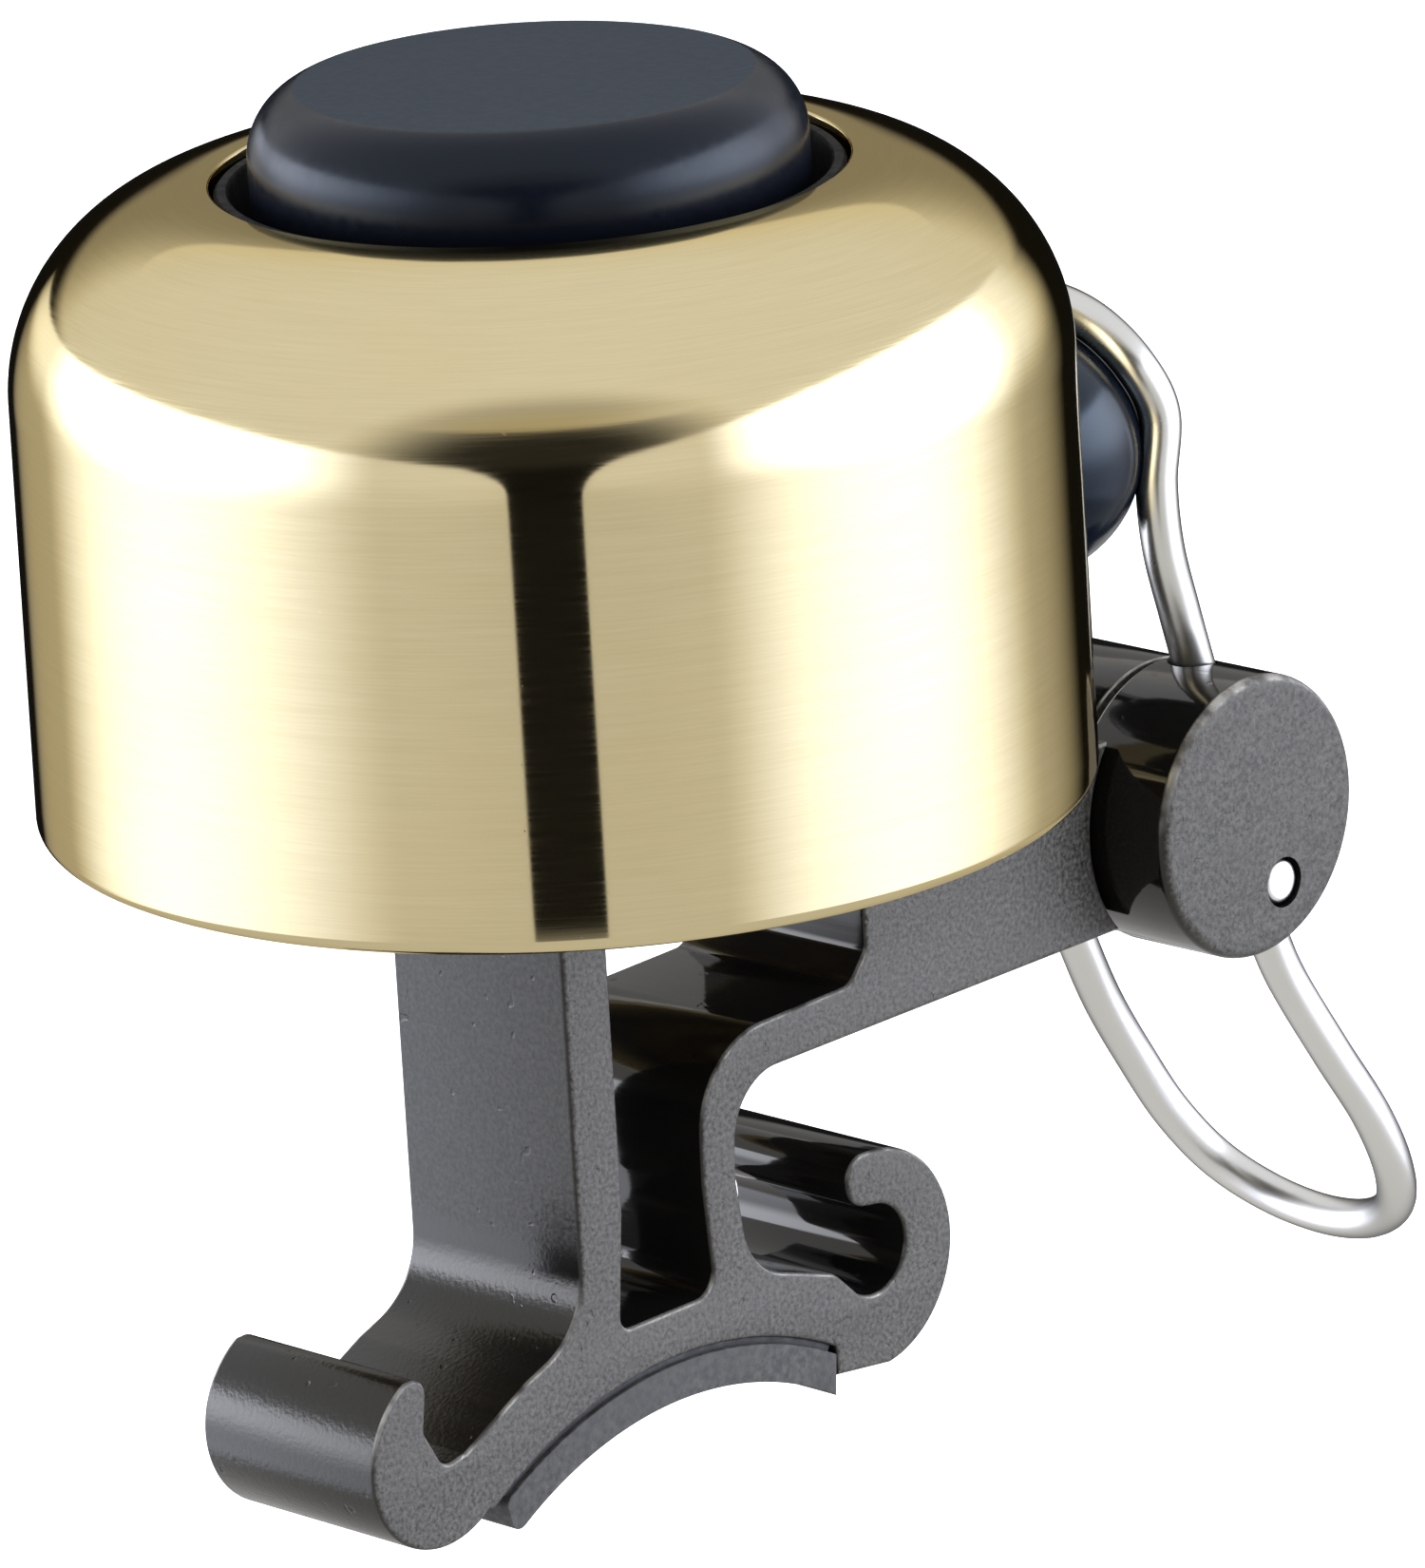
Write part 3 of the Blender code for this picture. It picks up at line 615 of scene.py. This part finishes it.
def make_isolator():
    """Shallow rubber cup round the button, its wall just inside the dome's opening; its near-black, dull
    rubber also serves as painted shade in the gap.
    """
    wall = 11.15
    profile = [(FLOOR_HOLE, CUP_FLOOR_TOP), (10.4, CUP_FLOOR_TOP), (10.5, CUP_FLOOR_TOP + 0.15)]
    profile += [(10.6, 44.82), (10.72, 44.95), (wall - 0.12, 44.95), (wall, 44.82), (wall, CUP_FLOOR_TOP)]
    profile += [(10.95, 42.55), (10.55, CUP_FLOOR_UNDERSIDE), (FLOOR_HOLE, CUP_FLOOR_UNDERSIDE)]
    # Black rubber, made near-black and dull so that it also serves as painted shade in the gap round the
    # button.
    material = plastic("isolator_elastomer", (0.004, 0.004, 0.004), 0.6)
    material.node_tree.nodes["Principled BSDF"].inputs["Specular IOR Level"].default_value = 0.15
    cup = turned("isolator_cup_ring", profile, (0, DOME_Y, 0), material, 144, closed=True)
    finish_piece(cup, "base", "isolator_cup", "isolator_cup")


# ---------------------------------------------------------------- bracket and pad


def saddle_arc(radius, start, end, steps):
    """Arc about the handlebar's axis, which lies one bar radius below the origin."""
    return arc(0, -BAR_RADIUS, radius, start, end, steps)


def as_corners(points):
    """Plain outline points as corners without a fillet."""
    return [(y, z, 0) for y, z in points]


def bracket_outline():
    """Section of the full-width body, with the arm's end hollowed for the hubs."""
    left_hook = as_corners(arc(-11.9, 1.7, 3.5, 308, 118, 48))
    left_hook += as_corners(arc(-13.2, 4.15, 0.65, 100, -10, 16))
    left_hook += [(-12.75, 2.7, 0.5), (-11.85, 1.15, 0.6), (-10.75, 1.35, 0.5), (-7.5, 3.0, 1.5)]
    post = [(POST_LEFT, 4.1, 3.0), (POST_LEFT, 14.0, 0), (POST_LEFT, FLANGE_TOP, 0.4)]
    post += [(FLANGE_END, FLANGE_TOP, 0.5), (FLANGE_END, FLANGE_UNDERSIDE, 0.5)]
    post += [(POST_RIGHT, FLANGE_UNDERSIDE, 0.3), (POST_RIGHT, 8.0, 0), (-2.65, 3.45, 0.5)]
    web = [(2.3, 3.45, 0.9), (1.95, 7.6, 2.0), (2.05, 12.8, 3.6), (10.2, 12.95, 0.8)]
    web += [(ARM_BLOCK_LEFT, 14.0, 0.6), (ARM_BLOCK_LEFT, ARM_BLOCK_TOP, 0.8)]
    socket = HUB_RADIUS + 0.35
    top = 180 - math.degrees(math.asin((ARM_BLOCK_TOP - AXIS_Z) / socket))
    bottom = 180 - math.degrees(math.asin((ARM_UNDERSIDE - AXIS_Z) / socket))
    mouth = as_corners(arc(AXIS_Y, AXIS_Z, socket, top, bottom, 24))
    under = [(3.9, ARM_UNDERSIDE, 2.4), (3.7, 7.4, 1.0), (4.2, 3.7, 2.6), (8.6, 2.3, 1.2)]
    throat = as_corners(arc(10.7, 2.6, 1.7, 236, 448, 42))
    nose = as_corners(arc(10.45, 5.4, 1.03, 262, 100, 27))
    right_hook = as_corners(arc(10.7, 2.2, 4.2, 88, -82, 42)) + [(SEAT_RIGHT, -1.6, 0.3)]
    rim = filleted(left_hook + post + web + mouth + under + throat + nose + right_hook)
    start = math.degrees(math.asin(SEAT_RIGHT / SEAT_RADIUS))
    stop = math.degrees(math.asin(SEAT_LEFT / SEAT_RADIUS))
    return rim + saddle_arc(SEAT_RADIUS, 90 - start, 90 - stop, 40)


def make_bracket(material):
    """Full-width section, and the narrower tongue with the eye that sticks out of its arm."""
    body = extruded("bracket_section", bracket_outline(), HALF_WIDTH, material, edge=0.2)
    finish_piece(body, "base", "bracket", "bracket")
    root = 18.0
    underside = 11.65
    top = 17.8
    tongue = [(root, underside), (AXIS_Y - 3.4, underside)]
    tongue += arc(AXIS_Y, AXIS_Z, EYE_RADIUS, -135, 140, 90)
    tongue += [(AXIS_Y - 4.2, top), (root, top)]
    bore = arc(AXIS_Y, AXIS_Z, EYE_BORE, 0, 355, 71)
    eye = extruded("bracket_eye", tongue, TONGUE_HALF_WIDTH, material, holes=[bore])
    finish_piece(eye, "base", "bracket", "bracket")


def make_pad(material, bond):
    """Rubber pad under the saddle, and the thin line of adhesive over it."""
    pad_top = BAR_RADIUS + PAD_THICKNESS - 0.08
    corners = as_corners(saddle_arc(pad_top, 90 - 28.95, 90 + 29.0, 48))
    corners += [(-9.0, -1.05, 0.45), (-8.6, -2.5, 0.45)]
    corners += as_corners(saddle_arc(BAR_RADIUS, 90 + 29.0, 90 - 31.3, 48))
    pad = extruded("saddle_pad", filleted(corners, turn=10), HALF_WIDTH, material, edge=0.06)
    finish_piece(pad, "base", "bar_pad", "bar_pad")
    upper = saddle_arc(SEAT_RADIUS + 0.02, 90 - 28.0, 90 + 31.0, 60)
    lower = saddle_arc(pad_top - 0.04, 90 + 30.2, 90 - 28.0, 60)
    layer = extruded("pad_adhesive", upper + lower, HALF_WIDTH - 0.22, bond, edge=0.02)
    finish_piece(layer, "base", "bar_pad")


# ---------------------------------------------------------------- striker


def cradle_point(degrees):
    """Point of the wire's ring round the ball, from 0 at its widest to 90 at its top."""
    a = math.radians(degrees)
    rise = CRADLE_RADIUS * math.sin(a)
    y = BALL[1] + CRADLE_OFFSET * math.cos(CRADLE_TILT) - rise * math.sin(CRADLE_TILT)
    z = BALL[2] + CRADLE_OFFSET * math.sin(CRADLE_TILT) + rise * math.cos(CRADLE_TILT)
    return (CRADLE_RADIUS * math.cos(a), y, z)


def hammer_path():
    """Hammer wire from the near hub round the ball to the far hub."""
    knots = [(4.0, 30.75, 17.6), (4.0, 30.05, 19.9), (4.02, 29.3, 22.3), (4.12, 28.45, 25.0)]
    knots += [(4.2, 28.15, 27.6)]
    knots += [cradle_point(a) for a in (0, 30, 60, 90)]
    return smooth_path(mirrored(knots))


def thumb_path():
    """Thumb loop from the near hub down and round to the far hub."""
    knots = [(5.35, 30.2, 12.75), (5.35, 31.6, 10.0), (5.4, 32.85, 7.25), (5.8, 34.8, 3.8)]
    knots += [(5.95, 36.8, 0.75), (5.6, 38.4, -1.9), (4.5, 39.7, -4.0), (2.5, 40.55, -5.3)]
    knots += [(0, 40.85, -5.75)]
    return smooth_path(mirrored(knots))


def leg_hole(hub, path, side):
    """Straight bore for a wire's leg, from just before its end to past its first span."""
    inner, outer = Vector(path[0]), Vector(path[PATH_STEPS])
    run = (outer - inner).normalized()
    flip = Vector((side, 1, 1))
    drill(hub, (inner - run * 0.3) * flip, (outer + run * 1.5) * flip, WIRE_RADIUS + WIRE_BORE_CLEARANCE)


def make_hub(node, side, material):
    """Striker hub on the +X side (side 1) or the -X side (side -1), bored for both wires and its pin."""
    face_round = 0.45
    back_round = 0.2
    profile = [(0, HUB_OUTER)]
    profile += arc(HUB_RADIUS - face_round, HUB_OUTER - face_round, face_round, 90, 0, 10)
    profile += arc(HUB_RADIUS - back_round, HUB_INNER + back_round, back_round, 0, -90, 6)
    profile += [(HUB_SOCKET_RADIUS, HUB_INNER), (HUB_SOCKET_RADIUS, HUB_SOCKET_END)]
    profile += [(0, HUB_SOCKET_END)]
    profile = [(radius, side * height) for radius, height in profile]
    hub = turned(node + "_body", profile, (0, AXIS_Y, AXIS_Z), material, 144, along_x=True, sharp=50)
    leg_hole(hub, hammer_path(), side)
    leg_hole(hub, thumb_path(), side)
    bottom, beyond = (side * PIN_BORE_END, PIN_Y, PIN_Z), (side * 9, PIN_Y, PIN_Z)
    drill(hub, bottom, beyond, PIN_RADIUS + PIN_BORE_CLEARANCE, 40)
    finish_piece(hub, "striker", "hubs", node)


def make_pin(node, side, material):
    """Lock pin with a slightly domed end."""
    profile = [(0, PIN_END), (0.4, PIN_END - 0.005), (0.62, PIN_END - 0.02), (0.76, PIN_END - 0.07)]
    profile += [(0.84, PIN_END - 0.17), (PIN_RADIUS, PIN_END - 0.3)]
    profile += [(PIN_RADIUS, PIN_INNER_END), (0, PIN_INNER_END)]
    profile = [(radius, side * height) for radius, height in profile]
    pin = turned(node + "_end", profile, (0, PIN_Y, PIN_Z), material, 48, along_x=True)
    finish_piece(pin, "striker", "bright_wire", node)


def ball_paint():
    """Blue-black lacquer of the ball, its reflection weaker on its underside as painted shade."""
    s = Shade("hammer_lacquer", (0.003, 0.005, 0.010), 0.0, 0.17)
    up = s.split(s.node("ShaderNodeNewGeometry").outputs["Normal"])[2]
    peel = s.noise(s.coordinates(), 1500, 3)
    colour = s.mix(peel, (0.0024, 0.004, 0.008), (0.0035, 0.006, 0.0115))
    # Painted shade: the reflection weakens towards the underside, so the lower half looks darker.
    s.put(s.shader, "Specular IOR Level", s.ramp(up, -0.1, 0.7, 0.13, 0.45))
    s.put(s.shader, "Specular Tint", (0.72, 0.88, 1, 1))
    return s.finish(colour, s.ramp(peel, 0.3, 0.7, 0.145, 0.195), s.bump(peel, 0.000003, 0.6))


def make_ball():
    """Ball in a groove for the wire, bored for its weight."""
    paint = ball_paint()
    profile = arc(0, 0, BALL_RADIUS, 90, -90, 48)
    profile = [(0.0 if radius < 1e-6 else radius, height) for radius, height in profile]
    ball = turned("hammer_ball_shell", profile, BALL, paint, 96, sharp=50)
    carve(ball, tube("groove", hammer_path(), WIRE_RADIUS + 0.08, paint, 24))
    outward = Vector((0, math.cos(CRADLE_TILT), math.sin(CRADLE_TILT)))
    centre = Vector(BALL)
    drill(ball, centre + outward * 0.9, centre + outward * 6, WEIGHT_BORE_RADIUS, 48)
    finish_piece(ball, "striker", "hammer_ball", "hammer_ball")


# ---------------------------------------------------------------- studio


CAMERA_AT = Vector((0.26785, -0.26724, 0.13898))
CAMERA_AZIMUTH = math.radians(44.22)
CAMERA_ELEVATION = math.radians(17.15)
CAMERA_ROLL = math.radians(-3.30)
CAMERA_LENS = 254.8
ROOM_FILL = 0.011


def make_camera():
    """Camera at CAMERA_AT that looks along its azimuth and elevation, rolled about that line."""
    data = bpy.data.cameras.new("camera")
    data.sensor_width = 36
    data.lens = CAMERA_LENS
    data.clip_start = 0.01
    data.clip_end = 20
    camera = bpy.data.objects.new("camera", data)
    bpy.context.scene.collection.objects.link(camera)
    a, e, r = CAMERA_AZIMUTH, CAMERA_ELEVATION, CAMERA_ROLL
    back = Vector((math.sin(a) * math.cos(e), -math.cos(a) * math.cos(e), math.sin(e)))
    right = Vector((math.cos(a), math.sin(a), 0))
    up = back.cross(right)
    x_axis = right * math.cos(r) + up * math.sin(r)
    y_axis = -right * math.sin(r) + up * math.cos(r)
    matrix = camera.matrix_world.to_3x3()
    matrix.col[0], matrix.col[1], matrix.col[2] = x_axis, y_axis, back
    camera.matrix_world = matrix.to_4x4()
    camera.location = CAMERA_AT
    bpy.context.scene.camera = camera


def sideways(degrees):
    """Level direction, its azimuth counted to the right of the camera's as seen from the object."""
    a = CAMERA_AZIMUTH + math.radians(degrees)
    return (math.sin(a), -math.cos(a), 0)


def panel(g, ray, azimuth, near, far, top, corner, hot, fade):
    """Light of one upright soft panel: its middle faces `azimuth`, and all edges are tangents.

    It runs from `near` to `far` sideways (far is away from the camera) and up to `top`, with a
    round of the size `corner` (across, up) between near and top. Its light climbs over the span
    `hot`, drops over the span `fade` and dies away towards `far`. It is weaker below the horizon.
    """
    tail = 0.27
    turn = 90 if azimuth > 0 else -90
    facing = g.math("MAXIMUM", g.dot(ray, sideways(azimuth)), 0.001)
    across = g.math("DIVIDE", g.dot(ray, sideways(azimuth + turn)), facing)
    rise = g.math("DIVIDE", g.dot(ray, (0, 0, 1)), facing)
    beside = g.ramp(across, near, near + corner[0], 1, 0)
    above = g.ramp(rise, top - corner[1], top, 0, 1)
    reach = g.math("SQRT", g.math("ADD", g.math("POWER", beside, 2), g.math("POWER", above, 2)))
    inside = g.ramp(reach, 0.92, 1.0, 1, 0, True)
    inside = g.math("MULTIPLY", inside, g.ramp(across, *fade, 1, tail, True))
    inside = g.math("MULTIPLY", inside, g.ramp(across, far * 0.25, far, 1, 0, True))
    base = g.ramp(rise, -0.7, 0.2, 0.8, 1.04, True)
    core = g.ramp(rise, -0.3, 0.1, 2.6, 7.0, True)
    return g.math("MULTIPLY", inside, g.ramp(across, *hot, base, core, True))


def ceiling(g, ray, up):
    """Large diffuser overhead, with a warm and darker patch in its middle: its level and colour."""
    elevation = math.radians(46)
    x, y, _ = sideways(-6)
    middle = (x * math.cos(elevation), y * math.cos(elevation), math.sin(elevation))
    near = g.dot(ray, middle)
    shade = g.ramp(near, 0.8, 0.99, 0, 0.3, True)
    level = g.math("SUBTRACT", g.ramp(near, 0.5, 0.93, 1.05, 0.9), shade)
    colour = g.mix(g.ramp(near, 0.8, 0.98, 0, 1, True), (1, 0.965, 0.89), (1, 0.88, 0.58))
    return g.math("MULTIPLY", g.ramp(up, 0.44, 0.49, 0, 1, True), level), colour


def room(g, ray, up):
    """Light of the room above the horizon: hardly any behind the camera, less behind the object."""
    ahead = g.dot(ray, sideways(0))
    level = g.ramp(ahead, 0.62, 0.93, 1.05, 0.02, True)
    level = g.math("MULTIPLY", level, g.ramp(up, 0.1, 0.2, 0, 1, True))
    return g.math("MULTIPLY", level, g.ramp(ahead, -0.95, -0.7, 0.4, 1, True))


def make_floor():
    """White floor that only the camera sees."""
    bpy.ops.mesh.primitive_circle_add(vertices=64, radius=4, fill_type="NGON", location=(0, 0, -0.3))
    floor = bpy.context.object
    floor.name = "floor"
    paint = Shade("floor_paint", (0.9, 0.9, 0.9), 0.0, 0.9)
    paint.put(paint.shader, "Emission Color", (1, 1, 1, 1))
    paint.put(paint.shader, "Emission Strength", 0.9)
    floor.data.materials.append(paint.material)
    floor.visible_glossy = floor.visible_diffuse = floor.visible_shadow = False


def make_studio():
    """World that lights the object with two panels, a ceiling, the room and the table, on white."""
    world = bpy.data.worlds.new("studio")
    bpy.context.scene.world = world
    world.use_nodes = True
    world.node_tree.nodes.clear()
    g = Graph(world.node_tree)
    ray = g.node("ShaderNodeTexCoord").outputs["Generated"]
    up = g.dot(ray, (0, 0, 1))
    right_light = dict(corner=(2.1, 1.2), hot=(-1.25, -0.05), fade=(0.0, 0.9))
    left_light = dict(corner=(1.05, 0.6), hot=(-0.88, 0.35), fade=(0.33, 1.75))
    right = panel(g, ray, azimuth=84, near=-4.25, far=2.4, top=0.54, **right_light)
    left = panel(g, ray, azimuth=-76, near=-2.5, far=9.0, top=0.34, **left_light)
    sides = g.math("MULTIPLY", g.math("MAXIMUM", right, left), g.ramp(up, -0.6, -0.5, 0, 1, True))
    table = g.ramp(up, -0.5, -0.33, 0.8, 0.0, True)
    overhead, warmth = ceiling(g, ray, up)
    sides = g.math("MAXIMUM", g.math("MAXIMUM", sides, table), room(g, ray, up))
    overhead = g.math("MAXIMUM", g.math("SUBTRACT", overhead, sides), 0.0)
    white = g.node("ShaderNodeBackground")
    g.put(white, "Color", g.mix(g.ramp(sides, 0.7, 1.6, 0, 1, True), (1, 0.99, 0.97), (0.95, 1, 1.17)))
    g.put(white, "Strength", g.math("ADD", sides, ROOM_FILL))
    warm = g.node("ShaderNodeBackground")
    g.put(warm, "Color", warmth)
    g.put(warm, "Strength", overhead)
    lit = g.node("ShaderNodeAddShader")
    g.put(lit, 0, white.outputs[0])
    g.put(lit, 1, warm.outputs[0])
    seen = g.node("ShaderNodeBackground")
    g.put(seen, "Color", (1, 1, 1, 1))
    chosen = g.node("ShaderNodeMixShader")
    g.put(chosen, 0, g.node("ShaderNodeLightPath").outputs["Is Camera Ray"])
    g.put(chosen, 1, lit.outputs[0])
    g.put(chosen, 2, seen.outputs[0])
    g.put(g.node("ShaderNodeOutputWorld"), "Surface", chosen.outputs[0])
    bpy.context.scene.view_settings.view_transform = "Standard"


# ---------------------------------------------------------------- assembly

make_dome()
make_button()
make_isolator()
make_bracket(anodised("black_anodised"))
make_pad(pad_rubber(), plastic("pad_bond", (0.012, 0.012, 0.012), 0.7, 2200, 0.00003))
hub_paint = anodised("hub_anodised")
make_hub("hub_near", 1, hub_paint)
make_hub("hub_far", -1, hub_paint)
pin_steel = drawn_wire("pin_steel", (0.8, 0.8, 0.79), 0.2, 0.34)
make_pin("lock_pin_near", 1, pin_steel)
make_pin("lock_pin_far", -1, pin_steel)
wire_steel = drawn_wire("bright_wire", (0.66, 0.65, 0.61), 0.22, 0.32)
hammer = tube("hammer_wire_bend", hammer_path(), WIRE_RADIUS, wire_steel)
finish_piece(hammer, "striker", "bright_wire", "hammer_wire")
loop_steel = drawn_wire("satin_wire", (0.68, 0.67, 0.635), 0.3, 0.4)
loop = tube("thumb_loop_bend", thumb_path(), LOOP_RADIUS, loop_steel)
finish_piece(loop, "striker", "bright_wire", "thumb_loop")
make_ball()

KEPT = {
    "cap_holder": plastic("holder_plastic", (0.03, 0.03, 0.032), 0.45),
    "cap_snap_ring": plastic("snap_ring_rubber", (0.02, 0.02, 0.02), 0.55),
    "isolator_lower": plastic("isolator_rubber", (0.02, 0.02, 0.02), 0.65, 1400, 0.000012),
    "centre_sleeve": small_steel("sleeve_steel", (0.55, 0.55, 0.56), 0.3),
    "centre_screw": small_steel("screw_steel", (0.5, 0.5, 0.51), 0.3),
    "head_washer": small_steel("washer_zinc", (0.6, 0.6, 0.61), 0.28),
    "flange_washer": small_steel("washer_steel", (0.6, 0.6, 0.61), 0.28),
    "lock_washer": small_steel("spring_steel", (0.36, 0.36, 0.37), 0.32),
    "centre_nut": small_steel("nut_steel", (0.52, 0.52, 0.53), 0.3),
    "axle": small_steel("axle_steel", (0.7, 0.7, 0.7), 0.2),
    "pivot_tube": small_steel("tube_bronze", (0.5, 0.33, 0.16), 0.35),
    "bearing_near": plastic("bearing_near_nylon", (0.72, 0.71, 0.67), 0.45),
    "bearing_far": plastic("bearing_far_nylon", (0.72, 0.71, 0.67), 0.45),
    "return_spring": drawn_wire("spring_wire", (0.62, 0.62, 0.62), 0.2, 0.3),
    "hammer_weight": small_steel("weight_steel", (0.45, 0.45, 0.46), 0.3),
}
for node, material in KEPT.items():
    NODES[node].data.materials.clear()
    NODES[node].data.materials.append(material)

make_camera()
make_floor()
make_studio()
